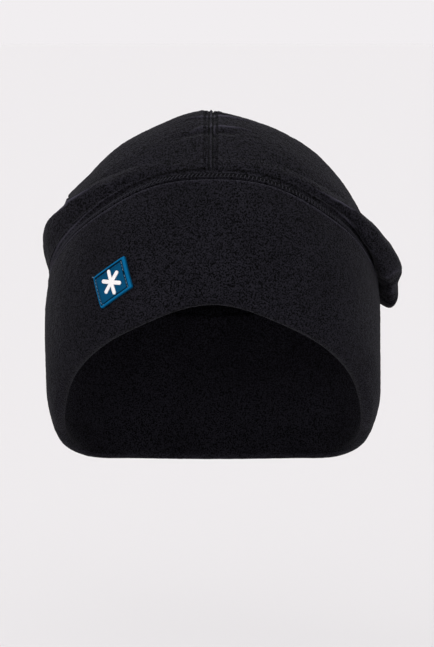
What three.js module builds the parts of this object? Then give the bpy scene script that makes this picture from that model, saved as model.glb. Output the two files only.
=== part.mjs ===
// Fleece beanie in the shape that it has on a head, in millimetres with +Z up.
// A band of doubled fleece is folded at the rim. Two crown panels meet in a seam over the top
// and puff out over the band at the sides and back. A moulded label sits on the band.
// The front faces -Y, and the wearer's left is +X. The origin is inside the hat, where the
// middle of a head sits, at the level where the forehead starts to curve back.
import * as THREE from "three";

// Driving dimensions
const FLEECE = 2.4; // one layer of cloth
const BAND_WALL = 5; // two layers, folded at the rim
const SEAM_GAP = 0.3; // clearance between pieces that are sewn together
const TOP = 112.5; // height of the crown above the origin

// The band's outer outline seen from above is two half ellipses that meet at its widest place.
const OUTLINE = { halfWidth: 89.6, front: 122, back: 91, widestY: 20 };
const FULLNESS_REACH = 30; // height over which the crown fills out to its full width
const SEAM_STRIP = 6; // flat stitched strip at the foot of the crown
const STRIP_SINK = 1; // the strip lies this much inside the band's outer face
const TOP_TAPER = { share: 0.42, power: 12 }; // the crown's top is a little pointed
const RIM_CURL = { height: 18, side: 5, front: 3 }; // the band turns in towards the rim
const NAPE_TUCK = { depth: 13, from: -10, to: -88 }; // the band follows the nape inwards

// Heights round the hat, the same on both sides. Azimuth 0 is the front and 180 the back.
const HEIGHTS = [
  { azimuth: 0, rim: 19.4, seam: 80.2 },
  { azimuth: 30, rim: 4.6, seam: 75 },
  { azimuth: 60, rim: -22.5, seam: 52.5 },
  { azimuth: 90, rim: -61, seam: 20 },
  { azimuth: 120, rim: -80, seam: 2 },
  { azimuth: 150, rim: -86, seam: -8 },
  { azimuth: 180, rim: -88, seam: -12 },
];

// The crown round the hat. The fullness is how much wider its smooth form is than the band.
// The other columns are the roll of loose cloth above the seam, in millimetres along the
// surface up from the seam: where its lowest place is, where it is widest, how far it stands
// out there and where it ends. Its lower edge has gathers of the given height. Negative
// azimuths are on the right.
const CROWN = [
  { azimuth: -150, fullness: 4, bottom: 9, widestAt: 30, width: 9, end: 72, gather: 0.6 },
  { azimuth: -120, fullness: 4.2, bottom: 8.5, widestAt: 31, width: 8, end: 58, gather: 0.4 },
  { azimuth: -90, fullness: 4.4, bottom: 8, widestAt: 25, width: 6.3, end: 40, gather: 0 },
  { azimuth: -60, fullness: 4.2, bottom: 9, widestAt: 17.5, width: 4, end: 28, gather: 0 },
  { azimuth: -30, fullness: 3.6, bottom: 8.5, widestAt: 11.5, width: 1, end: 19, gather: 0 },
  { azimuth: 0, fullness: 3.2, bottom: 8.5, widestAt: 11, width: 0.6, end: 16, gather: 0 },
  { azimuth: 30, fullness: 3, bottom: 8.5, widestAt: 11.5, width: 1, end: 19, gather: 0 },
  { azimuth: 60, fullness: 3, bottom: 8, widestAt: 13, width: 3, end: 22, gather: 0 },
  { azimuth: 90, fullness: 3, bottom: -9, widestAt: 6, width: 13.4, end: 31, gather: 0.8 },
  { azimuth: 120, fullness: 3.4, bottom: 2, widestAt: 17, width: 12.6, end: 48, gather: 0.8 },
  { azimuth: 150, fullness: 3.8, bottom: 6, widestAt: 24, width: 11, end: 68, gather: 0.8 },
  { azimuth: 180, fullness: 4, bottom: 8.5, widestAt: 28, width: 10, end: 76, gather: 0.8 },
];
const GATHERS = 13; // waves of the gathers in a full turn
const CREASE = { depth: 0.8, clearance: 1.8 }; // turn of the cloth over the stitched strip

// The label is a skewed plate. Its corners are measured along the band and upwards.
const LABEL = {
  azimuth: -35.6,
  height: 28.4,
  top: [5.6, 13],
  side: [14.6, -1.4],
  rimWidth: 0.13, // share of the half plate
  gap: 0.3,
  thickness: 1.6,
  fieldSink: 0.5,
};
const MARK = { arms: 6, reach: 6.6, armWidth: 2, thickness: 0.6, clearance: 0.1 };

// Mesh fineness. Rows of the roll are in steps from one of its section's places to the next.
const BAND_STATIONS = 88;
const PANEL_COLUMNS = 40;
const ROLL_ROWS = [0, 1, 1.5, 2, 2.5, 3, 4, 4.6, 5, 5.4, 6, 6.6, 7.2, 8, 9];
const DOME_ROWS = 7;

const radians = (degrees) => (degrees * Math.PI) / 180;
const clamp01 = (x) => Math.min(1, Math.max(0, x));
const smooth = (x) => clamp01(x) ** 2 * (3 - 2 * clamp01(x));

// Value of a column at an azimuth, by a smooth curve through evenly spaced rows of a ring.
function ringValue(rows, column, azimuth) {
  const step = 360 / rows.length;
  const place = (azimuth - rows[0].azimuth) / step;
  const first = Math.floor(place);
  const t = place - first;
  const at = (k) => rows[(((first + k) % rows.length) + rows.length) % rows.length][column];
  const [a, b, c, d] = [at(-1), at(0), at(1), at(2)];
  return b + (t * (c - a + t * (2 * a - 5 * b + 4 * c - d + t * (3 * (b - c) + d - a)))) / 2;
}

const mirrored = HEIGHTS.slice(1, -1).map((row) => ({ ...row, azimuth: -row.azimuth }));
const HEIGHT_RING = [...mirrored.reverse(), ...HEIGHTS];
const rimHeight = (azimuth) => ringValue(HEIGHT_RING, "rim", azimuth);
const seamHeight = (azimuth) => ringValue(HEIGHT_RING, "seam", azimuth);

// Point at a height on the outline grown by some millimetres and scaled towards its middle.
function outlinePoint(azimuth, height, grow, scale) {
  const turn = radians(azimuth);
  const reach = Math.cos(turn) > 0 ? OUTLINE.front : OUTLINE.back;
  const x = (OUTLINE.halfWidth + grow) * scale * Math.sin(turn);
  const y = OUTLINE.widestY - (reach + grow) * scale * Math.cos(turn);
  return new THREE.Vector3(x, y, height);
}

// The head is upright up to the origin and domed above it.
const headScale = (height) => Math.sqrt(1 - (Math.max(height, 0) / TOP) ** 2);

// Outer face of the band: share 0 is where the fold at the rim starts, share 1 the seam.
function bandOuter(azimuth, share) {
  const low = rimHeight(azimuth) + BAND_WALL / 2;
  const height = low + (seamHeight(azimuth) - low) * share;
  const facing = Math.cos(radians(azimuth));
  const curl = facing > 0 ? THREE.MathUtils.lerp(RIM_CURL.side, RIM_CURL.front, facing) : RIM_CURL.side;
  const turnIn = curl * (1 - clamp01((height - low) / RIM_CURL.height)) ** 2;
  const point = outlinePoint(azimuth, height, -turnIn, headScale(height));
  const tuck = clamp01((NAPE_TUCK.from - height) / (NAPE_TUCK.from - NAPE_TUCK.to));
  point.y -= NAPE_TUCK.depth * tuck ** 2 * Math.max(0, -facing);
  return point;
}

// Unit normal and upward tangent of a surface given as a function of azimuth and share.
function surfaceFrame(surface, azimuth, share) {
  const turn = 0.05;
  const step = 0.002;
  const along = surface(azimuth + turn, share).sub(surface(azimuth - turn, share)).normalize();
  const up = surface(azimuth, share + step).sub(surface(azimuth, share - step)).normalize();
  return { normal: along.cross(up).normalize(), up };
}

// Point at a height off the band's outer face.
function bandFace(azimuth, share, lift) {
  const { normal } = surfaceFrame(bandOuter, azimuth, share);
  return bandOuter(azimuth, share).addScaledVector(normal, lift);
}

// Section of the band: up the outer face, over the top, down the inner face, round the fold.
function bandSection(azimuth) {
  const rows = [0, 0.1, 0.22, 0.42, 0.62, 0.82, 0.97];
  const outer = rows.map((share) => bandFace(azimuth, share, 0));
  const top = [-STRIP_SINK, -BAND_WALL].map((lift) => bandFace(azimuth, 1, lift));
  const inner = [0.82, 0.62, 0.42, 0.22, 0.1, 0].map((share) => bandFace(azimuth, share, -BAND_WALL));
  const { normal, up } = surfaceFrame(bandOuter, azimuth, 0);
  const half = BAND_WALL / 2;
  const fold = [-54, 0, 54].map((lean) =>
    bandFace(azimuth, 0, -half)
      .addScaledVector(normal, half * Math.sin(radians(lean)))
      .addScaledVector(up, -half * Math.cos(radians(lean))),
  );
  return [...outer, ...top, ...inner, ...fold];
}

function geometryOf(points, triangles) {
  const geometry = new THREE.BufferGeometry().setFromPoints(points);
  geometry.setIndex(triangles);
  geometry.computeVertexNormals();
  return geometry;
}

function bandGeometry() {
  const points = [];
  const triangles = [];
  const sections = Array.from({ length: BAND_STATIONS }, (_, i) => bandSection((i * 360) / BAND_STATIONS));
  const size = sections[0].length;
  sections.forEach((section, i) => {
    points.push(...section);
    for (let k = 0; k < size; k++) {
      const [a, b] = [i * size + k, i * size + ((k + 1) % size)];
      const next = ((i + 1) % BAND_STATIONS) * size;
      const [c, d] = [next + k, next + ((k + 1) % size)];
      triangles.push(a, c, d, a, d, b);
    }
  });
  return geometryOf(points, triangles);
}

// The crown's smooth form before its roll: share 0 is at the seam and share 1 at the top.
function domePoint(azimuth, share) {
  const seam = Math.asin((seamHeight(azimuth) + SEAM_GAP) / TOP);
  const rise = seam + (Math.PI / 2 - seam) * share;
  const height = TOP * Math.sin(rise);
  const above = height - seamHeight(azimuth);
  const grow = -STRIP_SINK + ringValue(CROWN, "fullness", azimuth) * smooth(above / FULLNESS_REACH);
  const taper = 1 - TOP_TAPER.share * Math.max(0, Math.sin(rise)) ** TOP_TAPER.power;
  return outlinePoint(azimuth, height, grow, headScale(height) * taper);
}

function domeLength(azimuth) {
  const steps = 24;
  let length = 0;
  for (let i = 0; i < steps; i++)
    length += domePoint(azimuth, i / steps).distanceTo(domePoint(azimuth, (i + 1) / steps));
  return length;
}

// Point at a distance up from the seam and a height off the smooth form. Below the seam the
// form is the band's outer face.
function onForm(azimuth, along, lift) {
  if (along < 0) {
    const length = bandOuter(azimuth, 0).distanceTo(bandOuter(azimuth, 1));
    return bandFace(azimuth, 1 + along / length, lift - STRIP_SINK);
  }
  const share = along / domeLength(azimuth);
  const { normal } = surfaceFrame(domePoint, azimuth, share);
  return domePoint(azimuth, share).addScaledVector(normal, lift);
}

// Section of the roll at an azimuth, as distances along the form and heights off it.
function rollSection(azimuth) {
  const at = (column) => ringValue(CROWN, column, azimuth);
  const wave = at("gather") * Math.cos(GATHERS * radians(azimuth));
  const [bottom, widest, width, end] = [at("bottom") + wave, at("widestAt"), at("width"), at("end")];
  const free = clamp01((bottom - SEAM_STRIP) / 2); // 0 where the roll hangs over the strip
  const clear = Math.min(CREASE.clearance, 0.35 * width);
  const crease = SEAM_STRIP + 1.2 * free;
  const low = Math.max(clear, width * THREE.MathUtils.lerp(0.62, 0.2, free));
  const span = end - widest;
  const places = [
    [0, 0],
    [SEAM_STRIP, 0],
    [SEAM_STRIP + CREASE.depth, clear / 2],
    [crease, clear],
    [(crease + bottom) / 2, clear + 0.1 * (low - clear)],
    [bottom, low],
    [widest, width],
    [widest + span * 0.35, width * 0.8],
    [widest + span * 0.72, width * 0.36],
    [end, 0],
  ];
  return places.map(([along, lift]) => new THREE.Vector3(along, lift, 0));
}

// Outer face of the crown. Up to 1 the share runs along the roll, and from 1 to 2 the dome.
function crownPoint(azimuth, share) {
  const start = ringValue(CROWN, "end", azimuth) / domeLength(azimuth);
  if (share > 1) return domePoint(azimuth, start + (1 - start) * (share - 1));
  const place = new THREE.CatmullRomCurve3(rollSection(azimuth)).getPoint(clamp01(share));
  return onForm(azimuth, place.x, place.y);
}

const PANEL_ROWS = ROLL_ROWS.map((step) => step / ROLL_ROWS.at(-1));
for (let i = 1; i < DOME_ROWS; i++) PANEL_ROWS.push(1 + i / DOME_ROWS);

// One half of the crown, a wall of one layer, from one azimuth to another half a turn away.
function panelGeometry(from, side) {
  const points = [];
  const triangles = [];
  const shift = new THREE.Vector3((side * SEAM_GAP) / 2, 0, 0);
  const faces = { outer: [], inner: [] };
  for (let i = 0; i <= PANEL_COLUMNS; i++) {
    const azimuth = from + (180 * i) / PANEL_COLUMNS;
    faces.outer.push([]);
    faces.inner.push([]);
    for (const share of PANEL_ROWS) {
      const outer = crownPoint(azimuth, share).add(shift);
      const { normal } = surfaceFrame(crownPoint, azimuth, share);
      if (i === 0 || i === PANEL_COLUMNS) normal.setX(0).normalize();
      faces.outer[i].push(points.push(outer) - 1);
      faces.inner[i].push(points.push(outer.clone().addScaledVector(normal, -FLEECE)) - 1);
    }
  }
  const top = domePoint(from, 1).add(shift);
  const peak = { outer: points.push(top) - 1 };
  peak.inner = points.push(top.clone().setZ(top.z - FLEECE)) - 1;
  const quad = (a, b, c, d) => triangles.push(a, b, c, a, c, d);
  const last = faces.outer[0].length - 1;
  for (let i = 0; i < PANEL_COLUMNS; i++) {
    const [o, p] = [faces.outer[i], faces.outer[i + 1]];
    const [q, r] = [faces.inner[i], faces.inner[i + 1]];
    for (let j = 0; j < last; j++) {
      quad(o[j], p[j], p[j + 1], o[j + 1]);
      quad(q[j], q[j + 1], r[j + 1], r[j]);
    }
    triangles.push(o[last], p[last], peak.outer, q[last], peak.inner, r[last]);
    quad(o[0], q[0], r[0], p[0]);
  }
  for (const [i, turned] of [[0, false], [PANEL_COLUMNS, true]]) {
    const outer = [...faces.outer[i], peak.outer];
    const inner = [...faces.inner[i], peak.inner];
    for (let j = 0; j <= last; j++) {
      if (turned) quad(outer[j], inner[j], inner[j + 1], outer[j + 1]);
      else quad(outer[j], outer[j + 1], inner[j + 1], inner[j]);
    }
  }
  return geometryOf(points, triangles);
}

// Point above the band's outer face, at a place measured from the label's middle.
function labelPoint(along, up, lift) {
  const height = LABEL.height + up;
  const shareAt = (azimuth) => {
    const rim = rimHeight(azimuth) + BAND_WALL / 2;
    return (height - rim) / (seamHeight(azimuth) - rim);
  };
  const span = bandFace(LABEL.azimuth + 1, shareAt(LABEL.azimuth + 1), 0);
  const perDegree = span.distanceTo(bandFace(LABEL.azimuth, shareAt(LABEL.azimuth), 0));
  const azimuth = LABEL.azimuth + along / perDegree;
  return bandFace(azimuth, shareAt(azimuth), lift);
}

// Plate with a raised rim, on a grid across its two pairs of edges.
function labelGeometry() {
  const lines = [-1, -1 + LABEL.rimWidth, -1 + LABEL.rimWidth * 1.4, -0.35, 0.35];
  lines.push(1 - LABEL.rimWidth * 1.4, 1 - LABEL.rimWidth, 1);
  const size = lines.length;
  const points = [];
  const triangles = [];
  const place = (a, b, lift) => {
    const along = ((a + b) * LABEL.side[0] + (a - b) * LABEL.top[0]) / 2;
    const up = ((a + b) * LABEL.side[1] + (a - b) * LABEL.top[1]) / 2;
    points.push(labelPoint(along, up, lift));
  };
  for (const a of lines)
    for (const b of lines) {
      const inField = Math.max(Math.abs(a), Math.abs(b)) < 1 - LABEL.rimWidth;
      place(a, b, LABEL.gap + LABEL.thickness - (inField ? LABEL.fieldSink : 0));
    }
  for (const a of lines) for (const b of lines) place(a, b, LABEL.gap);
  const under = size * size;
  const quad = (a, b, c, d) => triangles.push(a, b, c, a, c, d);
  for (let i = 0; i < size - 1; i++) {
    for (let j = 0; j < size - 1; j++) {
      const a = i * size + j;
      quad(a, a + 1, a + size + 1, a + size);
      quad(under + a, under + a + size, under + a + size + 1, under + a + 1);
    }
    const last = size - 1;
    const edge = (p, q) => quad(p, under + p, under + q, q);
    edge(i * size + last, (i + 1) * size + last);
    edge((i + 1) * size, i * size);
    edge(i, i + 1);
    edge(last * size + i + 1, last * size + i);
  }
  return geometryOf(points, triangles);
}

// A plain six-armed snow star, raised on the label.
function markGeometry() {
  const outline = [];
  const half = MARK.armWidth / 2;
  const notch = half / Math.sin(Math.PI / MARK.arms);
  for (let i = 0; i < MARK.arms; i++) {
    const turn = (i * 2 * Math.PI) / MARK.arms;
    const [cos, sin] = [Math.cos(turn), Math.sin(turn)];
    for (const side of [-half, half])
      outline.push(new THREE.Vector2(MARK.reach * cos - side * sin, MARK.reach * sin + side * cos));
    const gap = turn + Math.PI / MARK.arms;
    outline.push(new THREE.Vector2(notch * Math.cos(gap), notch * Math.sin(gap)));
  }
  const base = LABEL.gap * 2 + LABEL.thickness - LABEL.fieldSink + MARK.clearance;
  const faces = THREE.ShapeUtils.triangulateShape(outline, []);
  const count = outline.length;
  const points = outline.map((p) => labelPoint(p.x, p.y, base + MARK.thickness));
  points.push(...outline.map((p) => labelPoint(p.x, p.y, base)));
  const triangles = [];
  for (const [a, b, c] of faces) triangles.push(a, b, c, count + a, count + c, count + b);
  for (let i = 0; i < count; i++) {
    const j = (i + 1) % count;
    triangles.push(i, count + i, count + j, i, count + j, j);
  }
  return geometryOf(points, triangles);
}

const cloth = new THREE.MeshStandardMaterial({ color: 0x1d1c21, roughness: 0.95, metalness: 0 });
const blueRubber = new THREE.MeshStandardMaterial({ color: 0x055f8c, roughness: 0.5, metalness: 0 });
const whiteRubber = new THREE.MeshStandardMaterial({ color: 0xf4f2f1, roughness: 0.5, metalness: 0 });

const hat = new THREE.Group();
function addPiece(name, geometry, material) {
  const piece = new THREE.Mesh(geometry, material);
  piece.name = name;
  hat.add(piece);
}

addPiece("band", bandGeometry(), cloth);
addPiece("crown_left", panelGeometry(0, 1), cloth);
addPiece("crown_right", panelGeometry(-180, -1), cloth);
addPiece("label", labelGeometry(), blueRubber);
addPiece("label_mark", markGeometry(), whiteRubber);

export default hat;
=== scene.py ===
"""Fleece beanie in its worn shape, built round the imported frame.

Lengths in the tables and functions are millimetres, and a mesh is made in metres. Left and
right are as the hat is worn. The front faces -Y and the left +X. An azimuth is in degrees
round the hat: 0 is the front, 90 the left and 180 the back.
"""

import math
from types import SimpleNamespace

import bpy
import numpy as np
from bpy.props import FloatProperty, FloatVectorProperty, IntProperty, PointerProperty
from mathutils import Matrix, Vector


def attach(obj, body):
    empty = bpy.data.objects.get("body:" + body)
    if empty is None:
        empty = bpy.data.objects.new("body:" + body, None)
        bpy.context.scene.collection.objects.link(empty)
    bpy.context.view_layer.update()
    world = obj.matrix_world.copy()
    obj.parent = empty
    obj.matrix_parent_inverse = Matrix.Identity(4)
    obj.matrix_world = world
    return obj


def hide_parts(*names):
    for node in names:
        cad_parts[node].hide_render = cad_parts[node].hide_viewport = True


bl_info = {
    "name": "Fleece Beanie",
    "version": (1, 0, 0),
    "blender": (4, 5, 0),
    "location": "View3D > Sidebar > Beanie",
    "description": "Makes a fleece beanie with a doubled band, a two-panel crown and a label",
    "category": "Mesh",
}

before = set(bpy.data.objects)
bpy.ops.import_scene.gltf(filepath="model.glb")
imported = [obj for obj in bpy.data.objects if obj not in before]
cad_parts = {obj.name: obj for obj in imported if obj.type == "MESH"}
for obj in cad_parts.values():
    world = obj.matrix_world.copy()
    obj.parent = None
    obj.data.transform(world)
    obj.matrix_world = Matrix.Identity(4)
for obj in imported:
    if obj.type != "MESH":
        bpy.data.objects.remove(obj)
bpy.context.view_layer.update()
BODY = "root"


# Tables


def table(columns, *rows):
    """Named columns of numbers from short rows."""
    values = np.array(rows, float)
    return {name: values[:, i] for i, name in enumerate(columns.split())}


# Lowest place of the rim and place of the seam round the band, the same on both sides.
HEIGHTS = table(
    "azimuth rim seam",
    (-150, -86, -8),
    (-120, -80, 2),
    (-90, -61, 20),
    (-60, -22.5, 52.5),
    (-30, 4.6, 75),
    (0, 19.4, 80.2),
    (30, 4.6, 75),
    (60, -22.5, 52.5),
    (90, -61, 20),
    (120, -80, 2),
    (150, -86, -8),
    (180, -88, -12),
)

# Fullness of the crown, and its roll of loose cloth: distances up from the seam of its lowest
# place, widest place and end, how far it stands out, and the height of its gathers.
CROWN = table(
    "azimuth fullness bottom widest width end gather",
    (-150, 4, 9, 30, 9, 72, 0.6),
    (-120, 4.2, 8.5, 31, 8, 58, 0.4),
    (-90, 4.4, 8, 25, 6.3, 40, 0),
    (-60, 4.2, 9, 17.5, 4, 28, 0),
    (-30, 3.6, 8.5, 11.5, 0.7, 19, 0),
    (0, 3.2, 8.5, 11, 0.3, 16, 0),
    (30, 3, 8.5, 11.5, 0.7, 19, 0),
    (60, 3, 8, 13, 3, 22, 0),
    (90, 3, -9, 6, 13.4, 31, 0.8),
    (120, 3.4, 2, 17, 12.6, 48, 0.8),
    (150, 3.8, 6, 24, 11, 68, 0.8),
    (180, 4, 8.5, 28, 10, 76, 0.8),
)

# Ridges and creases in the crown. Each has a height, which is negative in a crease, a half
# width, and the azimuth and distance up from the seam of each place that its line passes.
CREASES = (
    # Light lines of the cloth that is drawn in over the top.
    (0.75, 1.1, (-54, 80), (-44, 76), (-33, 72.5), (-23, 70), (0, 70.2), (18, 72.8), (33, 76), (50, 83),
     (60, 89.7), (66, 95.7), (72, 107)),
    (-0.9, 2.2, (-30, 80), (0, 77.5), (30, 82), (46, 88)),
    (0.7, 1.15, (-25, 45), (-19, 47.5), (-13, 51.5), (-8, 53), (0, 53), (13, 53.8), (23, 54.5), (31, 55.8),
     (38, 56.8), (44, 56.4)),
    (-1.0, 3.5, (-34, 41), (-18, 44), (0, 46), (16, 46.5), (26, 45)),
    # Upper edge of the roll on the right side of the hat, and the dip behind it.
    (0.75, 0.8, (-90, 28.5), (-84, 28), (-79, 27), (-75, 26), (-72, 24.9), (-68.6, 23.2), (-65.5, 22.6),
     (-62.6, 22), (-60, 21.6), (-56, 22.5), (-49, 24)),
    (-1.1, 2.2, (-80, 33), (-74, 29.4), (-66, 26.6), (-60, 26.5)),
    # The stitched strip slopes up to its upper edge there.
    (0.3, 1.2, (-104, 5.8), (-90, 6), (-75, 6), (-60, 6), (-44, 6)),
    (0.3, 0.5, (-118, 7.6), (-98, 7.6), (-85, 7.4), (-75, 7.6), (-69, 7.2), (-63, 6.9), (-54, 7.6), (-46, 8),
     (-36, 8)),
    # Upper edge of the roll on the left side.
    (0.4, 0.6, (46, 13), (52, 13.2), (58, 14), (62.5, 15.3), (64.7, 17.8), (67.3, 22.8), (70, 28)),
    (-0.5, 1.8, (50, 18), (58, 20), (64, 24), (70, 32), (76, 39)),
    # Flutes where the overhanging roll turns under.
    (0.35, 0.9, (91, 50), (88, 41), (84.5, 34), (82, 27), (81, 21), (82.5, 16), (85, 12)),
    (-1.1, 1.3, (92, 47), (88, 37), (85, 29), (84, 23), (85.5, 18), (88, 13)),
    (0.35, 0.9, (94, 48), (90, 39), (87.5, 32), (87, 27), (89, 23), (92, 19), (96, 14)),
    (-0.9, 1.4, (93, 36), (91, 30), (93, 25), (97, 19)),
    # The strip runs on below the roll there.
    (0.35, 0.7, (46, 5.8), (56, 6.9), (64, 8.4), (69, 9.6), (72, 12), (74, 17.7), (77, 19.7)),
    (-0.6, 0.9, (46, 8.8), (54, 9.5), (63, 10.6), (69.5, 13.5), (73, 21), (76, 25)),
    # Slack folds at the sides and the back.
    (0.7, 5, (-122, 52), (-100, 58), (-78, 60)),
    (1.0, 6, (-178, 88), (-155, 84), (-130, 70)),
    (-0.8, 5, (-170, 66), (-150, 60), (-128, 50)),
    (0.9, 6, (104, 66), (125, 76), (150, 82)),
    (-0.9, 4, (108, 46), (125, 52), (146, 60)),
    (0.9, 5, (150, 46), (166, 52), (178, 54)),
)

# How much further out the crown stands at each side than its smooth form, by height. The cloth
# puffs where it turns over the roll and is drawn in below that.
SIDES = table(
    "height right left",
    (11, -0.4, 0.6),
    (15, -0.4, -0.1),
    (19, -0.5, -0.8),
    (24, -0.5, 0.6),
    (28, -0.4, 1.2),
    (36, -0.2, 0.7),
    (44, -0.2, 0.5),
    (51, 0, 1.0),
    (54, 0, 0.8),
    (57, -0.2, 0.2),
    (61, -0.8, 0.3),
    (63.5, -0.4, 0.2),
    (65.5, 1.4, 0.2),
    (67.5, 0.7, 0.2),
    (70, 0, 0.2),
    (74, -0.6, 0.2),
    (80, -0.6, 0.2),
    (88, 0, 0.8),
    (94, 0.5, 0.6),
    (98, 0.2, 0.2),
    (102, 0, 0.3),
    (105, 0, 0),
    (109, 0.2, -0.3),
)

# Lights, each with its azimuth, height above the horizon and width in degrees, and strength.
LIGHTS = (
    ("key", -18, 14, 80, 1.6),
    ("fill", 22, 5, 90, 1.2),
    ("top", 175, 64, 60, 1.6),
)


# Settings


def linear(hex_colour):
    """Linear colour from sRGB written as hex."""
    channels = [int(hex_colour[i : i + 2], 16) / 255 for i in (1, 3, 5)]
    return [c / 12.92 if c <= 0.04045 else ((c + 0.055) / 1.055) ** 2.4 for c in channels]


def length_setting(name, description, default):
    """Property for a length, stored in metres and given here in millimetres."""
    return FloatProperty(
        name=name, description=description, default=default / 1000, unit="LENGTH", subtype="DISTANCE"
    )


def colour_setting(name, description, hex_colour):
    """Property for a colour."""
    return FloatVectorProperty(
        name=name, description=description, default=linear(hex_colour), subtype="COLOR", min=0, max=1
    )


class BeanieCloth(bpy.types.PropertyGroup):
    """Sizes of the cloth and its nap."""

    fleece: length_setting("Fleece", "Thickness of one layer of fleece", 2.4)
    band_wall: length_setting("Band wall", "Thickness of the doubled band", 5)
    strip: length_setting("Stitched strip", "Height of the flat strip at the foot of the crown", 6)
    nap: length_setting("Nap height", "Height of the tufts in the brushed nap", 0.13)
    tuft: length_setting("Tuft size", "Width of the larger tufts", 2.1)
    slack: length_setting("Slack", "Depth of the soft dents in the cloth", 0.7)


class BeanieThread(bpy.types.PropertyGroup):
    """Sizes of the stitches."""

    thickness: length_setting("Thickness", "Thickness of the sewing thread", 0.46)
    stitch: length_setting("Stitch", "Length of a topstitch along the centre seam", 2.2)
    row_offset: length_setting("Row offset", "Distance of a topstitch row from the middle of the two", 3.15)
    lap: length_setting("Seam lap", "Distance of the centre seam from the middle of the two rows", 1)
    cover_spacing: length_setting("Cover spacing", "Spacing of the slanted stitches on the strip", 2.05)
    label_stitch: length_setting("Label stitch", "Length of a stitch round the label", 1.9)


class BeanieLabel(bpy.types.PropertyGroup):
    """Sizes of the moulded label and its star."""

    thickness: length_setting("Thickness", "Thickness of the label at its rim", 1.6)
    rim: length_setting("Rim", "Width of the label's raised rim", 1.3)
    sink: length_setting("Field depth", "Depth of the field below the rim", 0.5)
    arms: IntProperty(name="Arms", description="Number of arms of the star", default=6, min=3, max=12)
    reach: length_setting("Reach", "Length of an arm of the star", 6.6)
    arm_width: length_setting("Arm width", "Width of an arm of the star", 2)


class BeanieColours(bpy.types.PropertyGroup):
    """Colours of the materials."""

    fleece: colour_setting("Fleece", "Colour of the fleece", "#201f25")
    fleece_deep: colour_setting("Fleece depth", "Colour between the tufts", "#030304")
    thread: colour_setting("Thread", "Colour of the sewing thread", "#2b2a31")
    label: colour_setting("Label", "Colour of the label", "#00466a")
    star: colour_setting("Star", "Colour of the star", "#f6f3f2")
    label_thread: colour_setting("Label thread", "Colour of the thread round the label", "#62819a")


class BeanieStudio(bpy.types.PropertyGroup):
    """Floor, light and camera."""

    floor_drop: length_setting("Floor", "Distance of the floor below the hat's origin", 230)
    camera_distance: length_setting("Camera distance", "Distance of the camera from the hat", 1500)
    camera_side: length_setting("Camera side", "How far the camera stands to the hat's left", 2.2)
    camera_pitch: FloatProperty(
        name="Camera pitch",
        description="Angle that the camera looks down",
        default=math.radians(6),
        subtype="ANGLE",
    )
    frame_height: length_setting("Frame height", "Height of the picture at the hat", 342.9)
    light: FloatProperty(name="Light", description="Strength of the lights", default=1, min=0)
    room: FloatProperty(name="Room", description="Strength of the light from all sides", default=0.45, min=0)
    paper: colour_setting("Paper", "Colour of the floor", "#e6e4e5")


def sizes(group):
    """A group's settings by name, with its lengths in millimetres."""
    settings = getattr(bpy.context.scene, "beanie_" + group)
    values = {name: getattr(settings, name) for name in type(settings).__annotations__}
    return SimpleNamespace(**{name: v * 1000 if isinstance(v, float) else v for name, v in values.items()})


# Forms. Every function takes arrays and works in millimetres.

TOP = 112.5
HALF_WIDTH, FRONT, BACK, WIDEST_Y = 89.6, 122, 91, 20
SEAM_GAP = 0.3
RIM_CURL, CURL_HEIGHT = 5, 18
NAPE_TUCK, TUCK_TOP, TUCK_HEIGHT = 13, -10, 78
TOP_TAPER, TAPER_POWER = 0.42, 12
FULLNESS_REACH = 30
STRIP_SINK = 1
GATHERS = 13


def curve_value(rows, column, azimuth):
    """Value of a column at each azimuth, by a smooth closed curve through its rows."""
    values = rows[column]
    place = (np.asarray(azimuth, float) - rows["azimuth"][0]) * len(values) / 360
    first = np.floor(place).astype(int)
    t = place - first
    a, b, c, d = (values[(first + k) % len(values)] for k in (-1, 0, 1, 2))
    return b + t * (c - a + t * (2 * a - 5 * b + 4 * c - d + t * (3 * (b - c) + d - a))) / 2


def smooth(x):
    """Ease from 0 to 1."""
    x = np.clip(x, 0, 1)
    return x * x * (3 - 2 * x)


def bump(distance, width):
    """Bell curve."""
    return np.exp(-((distance / width) ** 2))


def lengths(v):
    """Length of each vector."""
    return np.linalg.norm(v, axis=-1)


def unit(v):
    """Vectors scaled to length 1."""
    return v / np.maximum(lengths(v)[..., None], 1e-12)


def narrowing(height):
    """Width of the hat at a height, as a share of its widest."""
    return np.sqrt(np.clip(1 - (np.maximum(height, 0) / TOP) ** 2, 0, 1))


def outline_point(azimuth, height, grow, scale):
    """Point on the hat's outline, grown outwards and scaled towards the middle."""
    turn = np.radians(azimuth)
    reach = np.where(np.cos(turn) > 0, FRONT, BACK)
    x = (HALF_WIDTH + grow) * scale * np.sin(turn)
    y = WIDEST_Y - (reach + grow) * scale * np.cos(turn)
    return np.stack(np.broadcast_arrays(x, y, height), -1)


def fold_height(azimuth):
    """Height of the middle of the band's wall at the rim."""
    return curve_value(HEIGHTS, "rim", azimuth) + sizes("cloth").band_wall / 2


def band_outer(azimuth, share):
    """Outer face of the band, from the fold at the rim to the seam."""
    low = fold_height(azimuth)
    height = low + (curve_value(HEIGHTS, "seam", azimuth) - low) * share
    facing = np.cos(np.radians(azimuth))
    curl = np.where(facing > 0, RIM_CURL - 2 * facing, RIM_CURL)
    turn_in = curl * (1 - np.clip((height - low) / CURL_HEIGHT, 0, 1)) ** 2
    point = outline_point(azimuth, height, -turn_in, narrowing(height))
    tuck = np.clip((TUCK_TOP - height) / TUCK_HEIGHT, 0, 1)
    point[..., 1] -= NAPE_TUCK * tuck**2 * np.maximum(0, -facing)
    return point


def band_length(azimuth):
    """Distance from the fold at the rim to the seam."""
    return lengths(band_outer(azimuth, 0.0) - band_outer(azimuth, 1.0))


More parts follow.
